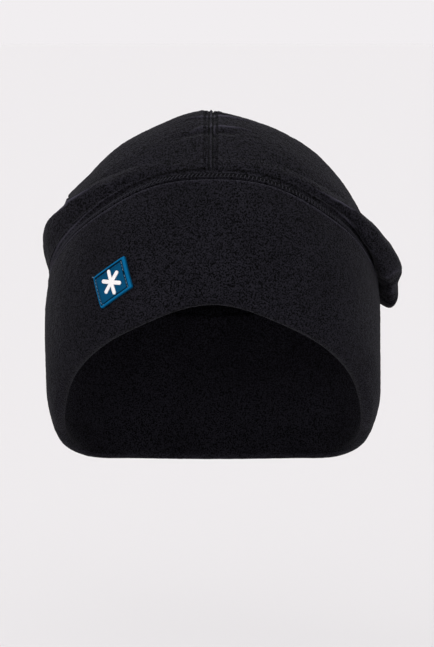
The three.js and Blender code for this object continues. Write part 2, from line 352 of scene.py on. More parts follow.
def dome(azimuth, share):
    """The crown's smooth form, from the seam to the top."""
    seam_height = curve_value(HEIGHTS, "seam", azimuth)
    seam = np.arcsin((seam_height + SEAM_GAP) / TOP)
    height = TOP * np.sin(seam + (np.pi / 2 - seam) * share)
    fullness = curve_value(CROWN, "fullness", azimuth)
    grow = -STRIP_SINK + fullness * smooth((height - seam_height) / FULLNESS_REACH)
    taper = 1 - TOP_TAPER * np.clip(height / TOP, 0, 1) ** TAPER_POWER
    return outline_point(azimuth, height, grow, narrowing(height) * taper)


def dome_length(azimuth):
    """Length of the crown's smooth form from the seam to the top."""
    points = dome(np.asarray(azimuth, float)[..., None], np.linspace(0, 1, 25))
    return lengths(np.diff(points, axis=-2)).sum(-1)


def normal_of(surface, azimuth, share):
    """Outward normal of a surface that is given as a function of azimuth and share."""
    along = surface(azimuth + 0.05, share) - surface(azimuth - 0.05, share)
    up = surface(azimuth, share + 0.002) - surface(azimuth, share - 0.002)
    return unit(np.cross(along, up))


def lifted(surface, azimuth, share, lift):
    """Point at a height off a surface."""
    return surface(azimuth, share) + normal_of(surface, azimuth, share) * np.asarray(lift)[..., None]


def on_form(azimuth, along, lift):
    """Point at a distance up from the seam and a height off the band or the crown's form."""
    azimuth, along, lift = np.broadcast_arrays(azimuth, along, lift)
    low_share = 1 + np.minimum(along, 0) / band_length(azimuth)
    low = lifted(band_outer, azimuth, low_share, lift - STRIP_SINK)
    high = lifted(dome, azimuth, np.maximum(along, 0) / dome_length(azimuth), lift)
    return np.where((along < 0)[..., None], low, high)


def roll_places(azimuth):
    """Places that the roll's section passes through, as distances along the form and lifts."""
    columns = ("bottom", "widest", "width", "end", "gather")
    bottom, widest, width, end, gather = (curve_value(CROWN, column, azimuth) for column in columns)
    bottom = bottom + gather * np.cos(np.radians(GATHERS * azimuth))
    strip = sizes("cloth").strip
    # How far the roll's lowest place is clear of the strip, from 0 to 1.
    free = np.clip((bottom - strip) / 2, 0, 1)
    clear = np.minimum(1.8, 0.35 * width)
    crease = strip + 1.2 * free
    low = np.maximum(clear, width * (0.62 - 0.42 * free))
    span = end - widest
    zero = np.zeros_like(width)
    places = [
        (zero, zero),
        (zero + strip, zero),
        (zero + strip + 0.8, clear / 2),
        (crease, clear),
        ((crease + bottom) / 2, clear + 0.1 * (low - clear)),
        (bottom, low),
        (widest, width),
        (widest + span * 0.35, width * 0.8),
        (widest + span * 0.72, width * 0.36),
        (end, zero),
    ]
    return np.array(places).transpose(2, 0, 1)


def curve_through(places, steps):
    """Points on the smooth curve through each row of places, with steps between neighbours."""
    before = 2 * places[:, :1] - places[:, 1:2]
    after = 2 * places[:, -1:] - places[:, -2:-1]
    p = np.concatenate([before, places, after], axis=1)
    gap = np.maximum(lengths(np.diff(p, axis=1)) ** 0.5, 1e-4)
    t = np.linspace(0, 1, steps, endpoint=False)[:, None]
    out = []
    for i in range(places.shape[1] - 1):
        a, b, c, d = (p[:, i + k, None] for k in range(4))
        g0, g1, g2 = (gap[:, i + k, None, None] for k in range(3))
        start = g1 * ((b - a) / g0 - (c - a) / (g0 + g1) + (c - b) / g1)
        stop = g1 * ((c - b) / g1 - (d - b) / (g1 + g2) + (d - c) / g2)
        rest = (3 * (c - b) - 2 * start - stop) * t**2 + (2 * (b - c) + start + stop) * t**3
        out.append(b + start * t + rest)
    return np.concatenate(out + [places[:, -1:]], axis=1)


def distances(points):
    """Distance of each point along its line: points is (points, 3) or (lines, points, 3)."""
    step = lengths(np.diff(points, axis=-2))
    return np.concatenate([np.zeros_like(step[..., :1]), np.cumsum(step, axis=-1)], axis=-1)


def along_line(distance, place, line):
    """Points at distances along a line whose own points lie at the given places."""
    return np.stack([np.interp(distance, place, line[:, k]) for k in range(3)], -1)


def respaced(points, count):
    """The same lines with evenly spaced points: points is (lines, points, 3)."""
    pairs = zip(distances(points), points)
    return np.array([along_line(np.linspace(0, place[-1], count), place, line) for place, line in pairs])


LATTICE_SIZE = 32
LATTICE = np.random.RandomState(7).uniform(-1, 1, (LATTICE_SIZE,) * 3)


def lumps(points, size):
    """Smooth random relief between -1 and 1, with lumps of the given size in millimetres."""
    place = points / size
    low = np.floor(place).astype(int)
    t = smooth(place - low)
    total = 0
    for corner in np.ndindex(2, 2, 2):
        weight = np.prod(np.where(corner, t, 1 - t), axis=-1)
        i, j, k = ((low[..., n] + corner[n]) % LATTICE_SIZE for n in range(3))
        total = total + weight * LATTICE[i, j, k]
    return total


def nap_relief(points):
    """Height of the brushed nap."""
    cloth = sizes("cloth")
    return cloth.nap * (lumps(points, cloth.tuft) + 0.7 * lumps(points + 50, cloth.tuft * 0.55))


def slack_relief(points):
    """Height of the soft dents that cloth has where nothing pulls it tight."""
    return sizes("cloth").slack * (lumps(points + 9, 34) + 0.45 * lumps(points + 23, 15))


# Meshes


def faces_of(grid, around=False):
    """Quads over a grid of vertex numbers, closed round its first axis where it is a ring."""
    next_grid = np.roll(grid, -1, axis=0) if around else grid[1:]
    this = grid if around else grid[:-1]
    quads = np.stack([this[:, :-1], next_grid[:, :-1], next_grid[:, 1:], this[:, 1:]], -1)
    return quads.reshape(-1, 4).tolist()


def zipped(a, b):
    """Triangles between two rows of vertex numbers that run the same way."""
    faces, i, j = [], 0, 0
    while i < len(a) - 1 or j < len(b) - 1:
        if j == len(b) - 1 or (i < len(a) - 1 and (i + 1) / (len(a) - 1) <= (j + 1) / (len(b) - 1)):
            faces.append((a[i], a[i + 1], b[j]))
            i += 1
        else:
            faces.append((a[i], b[j + 1], b[j]))
            j += 1
    return faces


def capped(rings, low, high):
    """Points and faces of a solid. Rings is (places round, lines up, 3), and a middle point
    closes each end."""
    count, lines = rings.shape[:2]
    grid = np.arange(count * lines).reshape(count, lines)
    after = np.roll(grid, -1, axis=0)
    faces = faces_of(grid, around=True)
    faces += [(grid.size, j, i) for i, j in zip(grid[:, 0].tolist(), after[:, 0].tolist())]
    faces += [(grid.size + 1, i, j) for i, j in zip(grid[:, -1].tolist(), after[:, -1].tolist())]
    return np.concatenate([rings.reshape(-1, 3), [low, high]]), faces


def new_object(name, data):
    """Object in the scene with its mesh, light or camera."""
    thing = bpy.data.objects.new(name, data)
    bpy.context.scene.collection.objects.link(thing)
    return thing


def make_piece(name, points, faces, material, slot, replaces=(), **shades):
    """Object of a mesh in millimetres that rides on the body and stands for CAD nodes. A shade
    has a value for each point. On the cloth it is a painted highlight above 0, up to 1 on a crest,
    and painted shade below 0, down to -1 in a crease. On the label it is a painted highlight of 1
    on the raised rim and painted shade of -1 in the groove."""
    mesh = bpy.data.meshes.new(name)
    mesh.from_pydata((np.asarray(points) / 1000).tolist(), [], faces)
    for shade, values in shades.items():
        data = mesh.attributes.new(shade, "FLOAT", "POINT").data
        data.foreach_set("value", np.asarray(values, np.float32))
    mesh.shade_smooth()
    mesh.materials.append(material)
    piece = new_object(name, mesh)
    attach(piece, BODY)
    if replaces:
        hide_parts(*replaces)
    return piece


def grid_normals(grid):
    """Outward normals of a grid of points."""
    return unit(np.cross(np.gradient(grid, axis=0), np.gradient(grid, axis=1)))


# Materials


def add_node(tree, kind, inputs=None, **settings):
    """Node with its settings. An input is a value, or the node or output socket that feeds it."""
    node = tree.nodes.new(kind)
    for name, value in settings.items():
        setattr(node, name, value)
    for name, value in (inputs or {}).items():
        if isinstance(value, bpy.types.Node):
            value = next(socket for socket in value.outputs if socket.enabled)
        if isinstance(value, bpy.types.NodeSocket):
            tree.links.new(value, node.inputs[name])
        else:
            node.inputs[name].default_value = value
    return node


def new_material(name):
    """Empty node material and its node tree."""
    material = bpy.data.materials.new(name)
    material.use_nodes = True
    material.node_tree.nodes.clear()
    return material, material.node_tree


def finish_material(material, surface):
    """The material with a surface that has these inputs of the standard shader."""
    tree = material.node_tree
    shader = add_node(tree, "ShaderNodeBsdfPrincipled", surface)
    add_node(tree, "ShaderNodeOutputMaterial", {"Surface": shader})
    return material


def made(maker, name, *values):
    """The material of this name, made the first time that it is asked for."""
    return bpy.data.materials.get(name) or maker(name, *values)


def per_metre(size):
    """Noise scale for features of a size in millimetres."""
    return 1000 / size


def brushed_polyester_fleece(name, tuft, spread):
    """Knitted polyester whose face is brushed into a short dense nap. It scatters nearly all
    light, so it has no gloss. The tufts catch light and the gaps between them stay dark. The
    fibre tips give a faint grey sheen at the edges."""
    colours = bpy.context.scene.beanie_colours
    material, tree = new_material(name)
    place = add_node(tree, "ShaderNodeTexCoord").outputs["Object"]
    # The nap is brushed from front to back, so the tufts are longer that way.
    place = add_node(tree, "ShaderNodeMapping", {"Vector": place, "Scale": (1, 0.45, 1)})
    # Tufts stand 0.75 to 0.85 mm apart, the grain that shows in ordinary light. Single fibres
    # are 0.02 mm, too fine to show, so they are drawn 0.36 mm wide. Wear and brushing change
    # the shade over about 25 mm.
    patterns = (
        {"Scale": per_metre(tuft), "Roughness": 0.6},
        {"Scale": per_metre(0.36), "Distortion": 0.6},
        {"Scale": per_metre(25)},
    )
    tufts, fibres, patches = (
        add_node(tree, "ShaderNodeTexNoise", {"Vector": place, "Detail": 2, **pattern})
        for pattern in patterns
    )
    height = add_node(tree, "ShaderNodeMath", {0: fibres, 1: 0.45, 2: tufts}, operation="MULTIPLY_ADD")
    # Gaps and tufts part at the middle height.
    middle = 0.72
    grain = {"Value": height, "From Min": middle - spread, "From Max": middle + spread}
    grain = add_node(tree, "ShaderNodeMapRange", grain)
    # A value for each point paints a highlight on a crest, where it also fills the dark gaps of
    # the grain, and paints shade in a crease.
    pile = add_node(tree, "ShaderNodeAttribute", attribute_name="pile").outputs["Fac"]
    lift = add_node(tree, "ShaderNodeMath", {0: pile, 1: 0}, operation="MAXIMUM")
    fill = add_node(tree, "ShaderNodeMath", {0: lift, 1: 1.8, 2: grain}, operation="MULTIPLY_ADD")
    shade = {"Factor": fill, "A": (*colours.fleece_deep, 1), "B": (*colours.fleece, 1)}
    shade = add_node(tree, "ShaderNodeMix", shade, data_type="RGBA")
    patch = {"Value": patches, "From Min": 0.3, "From Max": 0.7, "To Min": 0.88, "To Max": 1.12}
    patch = add_node(tree, "ShaderNodeMapRange", patch)
    # Painted shade darkens a crease to 0.3 of the colour, and a painted highlight lightens a crest up to 4.8
    # times.
    closed = {"Value": pile, "From Min": -1, "From Max": 0, "To Min": 0.3, "To Max": 1}
    closed = add_node(tree, "ShaderNodeMapRange", closed)
    level = add_node(tree, "ShaderNodeMath", {0: lift, 1: 3.8, 2: closed}, operation="MULTIPLY_ADD")
    level = add_node(tree, "ShaderNodeMath", {0: level, 1: patch}, operation="MULTIPLY")
    surface = {
        "Base Color": add_node(tree, "ShaderNodeVectorMath", {0: shade, "Scale": level}, operation="SCALE"),
        "Roughness": 0.95,
        "IOR": 1.5,
        "Specular IOR Level": 0.04,
        "Sheen Weight": 0.08,
        "Sheen Roughness": 0.22,
        "Sheen Tint": (0.6, 0.6, 0.66, 1),
        "Normal": add_node(tree, "ShaderNodeBump", {"Height": height, "Strength": 0.8, "Distance": 0.0007}),
    }
    return finish_material(material, surface)


def grained_colour(tree, colour, grain, shades, strength):
    """Tint and normal of a surface with a fine grain, which varies between two shares of its
    colour and stands out a little."""
    place = add_node(tree, "ShaderNodeTexCoord").outputs["Object"]
    grain = add_node(tree, "ShaderNodeTexNoise", {"Vector": place, **grain})
    dark, light = ((*[min(1, c * share) for c in colour], 1) for share in shades)
    tint = add_node(tree, "ShaderNodeMix", {"Factor": grain, "A": dark, "B": light}, data_type="RGBA")
    return tint, add_node(tree, "ShaderNodeBump", {"Height": grain, "Strength": strength, "Distance": 0.0002})


def spun_polyester_thread(name, colour):
    """Twisted spun polyester sewing thread: matt, with a fine rope-like twist."""
    material, tree = new_material(name)
    # The plies are 0.2 mm wide, and are drawn 0.3 mm wide to show.
    plies = {"Scale": per_metre(0.3), "Detail": 1}
    tint, normal = grained_colour(tree, colour, plies, (0.55, 1.35), 0.5)
    surface = {"Roughness": 0.8, "IOR": 1.5, "Specular IOR Level": 0.1}
    return finish_material(material, {"Base Color": tint, "Normal": normal, **surface})


def moulded_silicone_rubber(name, colour):
    """Soft moulded rubber: an even colour and a satin skin with very fine mould texture. Its
    colour has a painted highlight on raised edges and painted shade in its grooves."""
    material, tree = new_material(name)
    # The mould was blasted with 0.3 mm grit, which is drawn twice as coarse to show.
    grit = {"Scale": per_metre(0.6), "Detail": 2}
    shade, normal = grained_colour(tree, colour, grit, (0.9, 1.08), 0.12)
    # Painted highlight and shade from a value for each point: 0.2 of the colour in a groove, 1.8 on a raised
    # edge.
    wear = add_node(tree, "ShaderNodeAttribute", attribute_name="wear").outputs["Fac"]
    level = {"Value": wear, "From Min": -1, "From Max": 1, "To Min": 0.2, "To Max": 1.8}
    level = add_node(tree, "ShaderNodeMapRange", level)
    tint = add_node(tree, "ShaderNodeVectorMath", {0: shade, "Scale": level}, operation="SCALE")
    surface = {"Roughness": 0.55, "IOR": 1.43, "Specular IOR Level": 0.06}
    return finish_material(material, {"Base Color": tint, "Normal": normal, **surface})


# The band

BAND_STATIONS = 560
# Place of the label's middle, and its half diagonals along the band and upwards.
LABEL_AZIMUTH, LABEL_HEIGHT = -35.0, 28.6
LABEL_TOP, LABEL_SIDE = np.array([5.7, 13.3]), np.array([14.0, -1.4])


def label_point(along, up, lift):
    """Point above the band's outer face at a place measured from the label's middle."""
    height = LABEL_HEIGHT + np.asarray(up, float)

    def share(azimuth):
        """Share of the way from the fold to the seam at the height."""
        low = fold_height(azimuth)
        return (height - low) / (curve_value(HEIGHTS, "seam", azimuth) - low)

    ends = [band_outer(LABEL_AZIMUTH + k, share(LABEL_AZIMUTH + k)) for k in (0, 1)]
    azimuth = LABEL_AZIMUTH + np.asarray(along, float) / lengths(ends[1] - ends[0])
    return lifted(band_outer, azimuth, share(azimuth), lift)


class BEANIE_OT_band(bpy.types.Operator):
    """Make the band: a strip of fleece that is folded at the rim, with both edges in the seam"""

    bl_idname = "beanie.band"
    bl_label = "Band"

    def execute(self, context):
        cloth = sizes("cloth")
        wall, layer = cloth.band_wall, cloth.fleece
        azimuth = (np.arange(BAND_STATIONS) * 360 / BAND_STATIONS)[:, None]
        length = band_length(azimuth)

        # The outer face. The cloth rounds over into the seam and is a little fuller at the rim.
        edge = np.array([4.2, 3.3, 2.6, 2.0, 1.5, 1.1, 0.8, 0.5, 0.25, 0.0])[None, :]
        body = np.linspace(0, 1, 75)[None, :-1] * (1 - (edge[0, 0] + 1) / length)
        share = np.concatenate([body, 1 - edge / length], axis=1)
        from_top = (1 - share) * length
        from_rim = share * length
        face = 0.35 * bump(from_top - 0.9, 0.7) - 0.5 * bump(from_top, 0.35) + 0.35 * bump(from_rim - 2, 4)
        flat = lifted(band_outer, azimuth, share, face)
        under_label = bump(lengths(flat - label_point(0, 0, 0)), 17)
        relief = (slack_relief(flat) * 0.75 + nap_relief(flat)) * (1 - under_label)
        outer = lifted(band_outer, azimuth, share, face + relief * smooth(from_top / 1.2))

        # The backs of the two layers meet inside the fold, out of sight.
        down = np.linspace(1, 0, 12)[None, :]
        back = lifted(band_outer, azimuth, down, -layer)
        front = lifted(band_outer, azimuth, down[:, ::-1], layer - wall)

        # The seam allowance stands up inside the crown and closes the seam.
        rise = np.array([0.0, 1.5, 3.5, 4.5, 4.5, 3.5, 1.5])[None, :]
        depth = np.array([3.6, 3.6, 3.6, 3.9, 4.6, 5.0, 5.1])[None, :]
        tongue = on_form(azimuth, rise + 0.01, STRIP_SINK - depth)

        # The inner face.
        down = np.linspace(1, 0, 34)[None, :]
        flat = lifted(band_outer, azimuth, down, -wall)
        relief = 0.6 * slack_relief(flat) + nap_relief(flat)
        inner = lifted(band_outer, azimuth, down, relief * smooth((1 - down) * 8) - wall)

        # The fold is a half circle round the middle of the wall.
        lean = np.radians(np.linspace(-80, 80, 13))[None, :, None]
        low = lifted(band_outer, azimuth, 0.0, -wall / 2)
        normal = normal_of(band_outer, azimuth, 0.0)
        up = unit(band_outer(azimuth, 0.01) - band_outer(azimuth, 0.0))
        turn = wall / 2 + 0.2 + 0.5 * nap_relief(low)[..., None]
        fold = low + turn * (normal * np.sin(lean) - up * np.cos(lean))

        section = np.concatenate([outer, back, front, tongue, inner, fold], axis=1)
        grid = np.arange(section.size // 3).reshape(BAND_STATIONS, -1)
        faces = faces_of(np.concatenate([grid, grid[:, :1]], axis=1), around=True)
        # Painted highlight along the band's top edge, where the cloth rounds over into the seam, most of all
        # at the sides.
        pile = np.zeros(section.shape[:2])
        sideways = np.sin(np.radians(azimuth)) ** 2
        pile[:, : share.shape[1]] = (0.14 + 0.24 * sideways) * bump(from_top - 0.9, 0.75)
        fleece = made(brushed_polyester_fleece, "brushed_polyester_fleece", 0.75, 0.08)
        points = section.reshape(-1, 3)
        band = make_piece("band_cloth", points, faces, fleece, "fleece", ["band"], pile=pile.ravel())
        return {"FINISHED"}


# The crown

STRIP_ROWS, ROLL_ROWS, DOME_ROWS, CROWN_COLUMNS = 12, 88, 96, 400
CURVE_STEPS = 24
# Half widths of the groove of a row of stitches and of a seam.
ROW_GROOVE, SEAM_GROOVE = 0.5, 0.45


def crown_grid(azimuth):
    """Smooth outer face of the crown, one line of points from the seam to the top for each
    azimuth, and how far each point is along its line."""
    places = curve_through(roll_places(azimuth), CURVE_STEPS)
    line = on_form(azimuth[:, None], places[..., 0], places[..., 1])
    start = (curve_value(CROWN, "end", azimuth) / dome_length(azimuth))[:, None]
    top = dome(azimuth[:, None], start + (1 - start) * np.linspace(0, 1, 120)[None, :])
    strip = respaced(line[:, : CURVE_STEPS + 1], STRIP_ROWS)
    roll = respaced(line[:, CURVE_STEPS:], ROLL_ROWS)
    grid = np.concatenate([strip[:, :-1], roll, respaced(top, DOME_ROWS)[:, 1:]], axis=1)
    return grid, distances(grid)


def spots_on(grid, azimuth, along, places):
    """Points of the grid at places given as azimuths and distances up from the seam."""
    out = []
    for turn, distance in places:
        i = int(np.clip(np.searchsorted(azimuth, turn) - 1, 0, len(azimuth) - 2))
        t = np.clip((turn - azimuth[i]) / (azimuth[i + 1] - azimuth[i]), 0, 1)
        ends = [along_line(distance, along[i + k], grid[i + k]) for k in (0, 1)]
        out.append(ends[0] * (1 - t) + ends[1] * t)
    return np.array(out)


def crease_relief(grid, azimuth, along):
    """Height of the ridges and creases that the table lists, and their painted highlight on a ridge and
    painted shade in a crease.
    """
    total, pile = np.zeros(grid.shape[:2]), np.zeros(grid.shape[:2])
    for height, width, *places in CREASES:
        if places[-1][0] < azimuth[0] or places[0][0] > azimuth[-1]:
            continue
        # Places in between keep the line on the curved cloth.
        place = np.arange(len(places) * 3 - 2) / 3
        fine = [np.interp(place, np.arange(len(places)), column) for column in zip(*places)]
        line = spots_on(grid, azimuth, along, zip(*fine))
        nearest, where = np.full(total.shape, 1e9), np.zeros(total.shape)
        for k, (a, b) in enumerate(zip(line[:-1], line[1:])):
            run = b - a
            if run @ run < 1e-6:
                continue
            t = np.clip((grid - a) @ run / (run @ run), 0, 1)
            distance = lengths(grid - a - t[..., None] * run)
            where = np.where(distance < nearest, (k + t) / (len(line) - 1), where)
            nearest = np.minimum(distance, nearest)
        # The ends of a line fade out, and its shade does so over more of its length. A line that
        # crosses the centre seam doesn't fade there.
        first = np.where(places[0][0] < azimuth[0], 1, where)
        last = np.where(places[-1][0] > azimuth[-1], 1, 1 - where)
        total += height * smooth(first * 4) * smooth(last * 4) * bump(nearest, width)
        # A ridge paints a highlight and a crease paints shade into the colour.
        shade = np.clip(height / width, -1, 1) * smooth(first * 2.2) * smooth(last * 2.2)
        pile += shade * bump(nearest, width if height > 0 else width / 2)
    return total, pile


def crown_relief(grid, azimuth, along):
    """Height of everything that stands out of the crown's smooth face, and its painted highlight and shade.
    """
    strip, thread = sizes("cloth").strip, sizes("thread")
    x, height, turn = grid[..., 0], grid[..., 2], azimuth[:, None]
    # The seam lies to one side of the middle of its topstitching. It dips, and so does the edge
    # of its allowance under the cloth, and each row of topstitching pulls a groove.
    off, middle, allowance = np.abs(x), np.abs(x + thread.lap), np.abs(x + 2 * thread.lap)
    from_row = middle - thread.row_offset
    row = bump(from_row, ROW_GROOVE)
    pull = 0.5 + 0.5 * np.cos(2 * np.pi * along / thread.stitch)
    dips = bump(off, SEAM_GROOVE), bump(allowance, SEAM_GROOVE)
    seam = 0.3 * bump(middle, ROW_GROOVE) - dips[0] - 0.6 * dips[1]
    seam = seam - 0.9 * pull * row + 0.3 * bump(from_row - 1.4, 1.1)
    # The strip is flat between two needle rows.
    rows = 0.75 * bump(along, 1.3) - 0.3 * bump(along - 1.1, 0.4) - 0.3 * bump(along - strip + 0.7, 0.4)
    loose = smooth((along - strip) / 12) * (1 - 0.75 * bump(middle, thread.row_offset + 1.5))
    # The two sides are not alike, and the panels are not quite the same height at the top.
    sides = bump(turn + 88, 26) * np.interp(height, SIDES["height"], SIDES["right"])
    sides = sides + bump(turn - 90, 26) * np.interp(height, SIDES["height"], SIDES["left"])
    top = bump(lengths(grid - [0, 20, 112]), 36)
    uneven = -(0.45 + 0.3 * np.tanh(x / 8)) * top - 0.4 * bump(x + 3, 9) * top
    relief, pile = crease_relief(grid, azimuth, along)
    relief = relief + slack_relief(grid) * loose + sides * smooth((along - strip) / 4) + uneven
    sewn = smooth((along - strip + 1) / 2)
    relief = relief + seam * sewn + rows + nap_relief(grid) * smooth(along + 0.5)
    # Painted shade along every row of stitches and in the seam's dips, and a painted highlight on the ridges
    # between them.
    painted_seam_shade = dips[0] + 0.8 * dips[1] + (0.7 + pull) * row
    lit = 0.14 * bump(middle, 0.5) + 0.04 * bump(middle, thread.row_offset) + 0.05 * bump(from_row - 1.2, 0.7)
    pile = pile + sewn * (lit - painted_seam_shade)
    # Painted shade on the strip too, and in front also in the crease above it.
    strip_shade_mask = smooth((along - 1.1) / 0.8) * smooth((strip * 0.65 - along) / 0.6)
    pile = pile - 0.9 * strip_shade_mask * (1 - 0.7 * bump(turn - 80, 22))
    front = bump(turn, 52) * (1 - bump(turn - 3, 5))
    pile = pile - 1.2 * front * bump(along - strip - 0.7, 0.85)
    return relief, np.clip(pile, -1, 1)


def crown_panel(name, start, node):
    """One half of the crown, from a seam edge at the front to one at the back."""
    # The columns are closest together at the centre seam.
    place = np.linspace(0, 1, CROWN_COLUMNS)
    azimuth = start + 180 * (place - 0.55 * np.sin(2 * np.pi * place) / (2 * np.pi))
    grid, along = crown_grid(azimuth)
    grid[[0, -1], :, 0] = 0
    normal = grid_normals(grid)
    normal[[0, -1], :, 0] = 0
    normal[:, -1] = (0, 0, 1)
    normal = unit(normal)
    relief, pile = crown_relief(grid, azimuth, along)
    outer = grid + normal * relief[..., None]
    # The inner face has fewer rows, and a strip of seam allowance along the centre seam.
    last = grid.shape[1] - 1
    keep = np.unique(np.r_[0, 6, STRIP_ROWS - 1, np.arange(15, last, 5), last])
    flat = grid[:, keep]
    off = np.abs(flat[..., 0])
    allowance = 1.2 * smooth((6 - off) / 2) - 0.9 * bump(off, 0.5)
    thickness = sizes("cloth").fleece + allowance - nap_relief(flat)
    inner = flat - normal[:, keep] * thickness[..., None]

    count = outer.size // 3
    out = np.arange(count).reshape(outer.shape[:2])
    into = count + np.arange(inner.size // 3).reshape(inner.shape[:2])
    faces = faces_of(out) + faces_of(into[::-1])
    faces += faces_of(np.stack([into[:, 0], out[:, 0]], axis=1))
    faces += zipped(into[0].tolist(), out[0].tolist())
    faces += zipped(out[-1].tolist(), into[-1].tolist())
    points = np.concatenate([outer.reshape(-1, 3), inner.reshape(-1, 3)])
    fleece = made(brushed_polyester_fleece, "loose_polyester_fleece", 0.85, 0.045)
    pile = np.concatenate([pile.ravel(), np.zeros(inner.size // 3)])
    return make_piece(name, points, faces, fleece, "fleece", [node], pile=pile)


class BEANIE_OT_crown(bpy.types.Operator):
    """Make the crown: two fleece panels that meet in a seam from front to back"""

    bl_idname = "beanie.crown"
    bl_label = "Crown"

    def execute(self, context):
        for node, start in (("crown_left", 0), ("crown_right", -180)):
            panel = crown_panel(node + "_cloth", start, node)
        return {"FINISHED"}


# Stitches


def thread_loops(starts, ends, normals, thickness, bow):
    """Points and faces of one short thread from each start to each end. Its middle stands a
    little way off the cloth and its ends go into it."""
    rings, sides = 6, 6
    t = np.linspace(0, 1, rings)[None, :, None]
    run = (ends - starts)[:, None]
    up = normals[:, None]
    side = unit(np.cross(run, up))
    rise = bow * np.sin(np.pi * t) - thickness * 0.55 * (1 - np.sin(np.pi * t))
    centre = starts[:, None] + run * t + up * rise
    radius = thickness / 2 * np.where((t == 0) | (t == 1), 0.55, 1)
    turn = (2 * np.pi * np.arange(sides) / sides)[None, None, :, None]
    across = side[:, :, None] * np.cos(turn) + up[:, :, None] * np.sin(turn)
    points = (centre[:, :, None] + radius[:, :, None] * across).reshape(-1, 3)
    faces = []
    for grid in np.arange(len(points)).reshape(-1, rings, sides):
        faces += faces_of(np.concatenate([grid, grid[:, :1]], axis=1)[::-1])
        faces += [grid[0].tolist(), grid[-1][::-1].tolist()]
    return points, faces


def joined(parts):
    """Several sets of points and faces as one."""
    faces, count = [], 0
    for points, part_faces in parts:
        faces += [[count + v for v in face] for face in part_faces]
        count += len(points)
    return np.concatenate([points for points, _ in parts]), faces


def stitch_ends(line, length, gap):
    """Starts and ends of stitches of a length along a line of points, and their place in it."""
    place = distances(line)
    first = np.arange(gap, place[-1] - length, length)
    starts, ends = (along_line(first + d, place, line) for d in (0, length - gap))
    return starts, ends, np.interp(first + length / 2, place, np.arange(len(line)))


def make_stitches(name, points, faces):
    """Stitches in the sewing thread of the cloth."""
    material = made(spun_polyester_thread, "spun_polyester_thread", bpy.context.scene.beanie_colours.thread)
    make_piece(name, points, faces, material, "fleece")


class BEANIE_OT_centre_stitches(bpy.types.Operator):
    """Make the two rows of topstitching along the centre seam"""

    bl_idname = "beanie.centre_stitches"
    bl_label = "Centre stitches"

    def execute(self, context):
        thread = sizes("thread")
        near = np.linspace(0, 30, 61)
        halves = slice(0, 61), slice(61, 122)
        parts = []
        for start, side in ((0, 1), (-180, -1)):
            offset = thread.row_offset - side * thread.lap
            azimuth = start + np.concatenate([near, near + 150])
            grid, along = crown_grid(azimuth)
            lift = crown_relief(grid, azimuth, along)[0] - nap_relief(grid) * 0.6
            normal = grid_normals(grid)
            surface = grid + normal * lift[..., None]
            # The row goes up in front and down at the back.
            line, up = [], []
            for columns, order in zip(halves[::side], (1, -1)):
                x = side * grid[columns, :, 0]
                rows = [j for j in range(STRIP_ROWS + 2, grid.shape[1] - 1) if x[:, j].max() > offset + 0.5]
                for j in rows[::order]:
                    sort = np.argsort(x[:, j])
                    line.append(along_line(offset, x[sort, j], surface[columns][sort, j]))
                    up.append(along_line(offset, x[sort, j], normal[columns][sort, j]))
            starts, ends, at = stitch_ends(np.array(line), thread.stitch, 0.9)
            normals = unit(along_line(at, np.arange(len(up)), unit(np.array(up))))
            parts.append(thread_loops(starts, ends, normals, thread.thickness * 0.8, 0.1))
        make_stitches("centre_stitches", *joined(parts))
        return {"FINISHED"}


class BEANIE_OT_cover_stitches(bpy.types.Operator):
    """Make the slanted cover stitching on the strip between the band and the crown"""

    bl_idname = "beanie.cover_stitches"
    bl_label = "Cover stitches"

    def execute(self, context):
        thread, strip = sizes("thread"), sizes("cloth").strip
        fine = np.linspace(0, 360, 1441)
        place = distances(on_form(fine, 2.0, 0.0))
        count = int(place[-1] / thread.cover_spacing)
        spots = np.arange(count) * place[-1] / count

        def at(distance, along, lift):
            """Point at a distance round the strip and up it."""
            return on_form(np.interp(distance % place[-1], place, fine), along, lift)

        lean = 1.4
        starts, ends = at(spots - lean / 2, 0.4, 0.65), at(spots + lean / 2, strip * 0.55, 0.15)
        up = unit(at(spots, 2.0, 1.0) - at(spots, 2.0, 0.0))
        make_stitches("cover_stitches", *thread_loops(starts, ends, up, thread.thickness * 1.1, 0.15))
        return {"FINISHED"}


# The label

LABEL_GAP = 0.3
LABEL_POINTS, THREAD_POINTS = 240, 400
# About half the label's width, and how sharply its corners turn.
LABEL_HALF, CORNER_POWER = 10.5, 34


def label_ring(reach, lift, count):
    """Closed line round the label at a share of its half size, with rounded corners. The rim is
    wider on the side towards the front."""
    turn = np.linspace(0, 2 * np.pi, count, endpoint=False)
    size = (np.abs(np.cos(turn)) ** CORNER_POWER + np.abs(np.sin(turn)) ** CORNER_POWER) ** (1 / CORNER_POWER)
    a = reach * np.cos(turn) / size - 0.45 * (1 - reach)
    b = reach * np.sin(turn) / size
    along, up = (((a + b) * LABEL_SIDE[k] + (a - b) * LABEL_TOP[k]) / 2 for k in (0, 1))
    return label_point(along, up, lift)


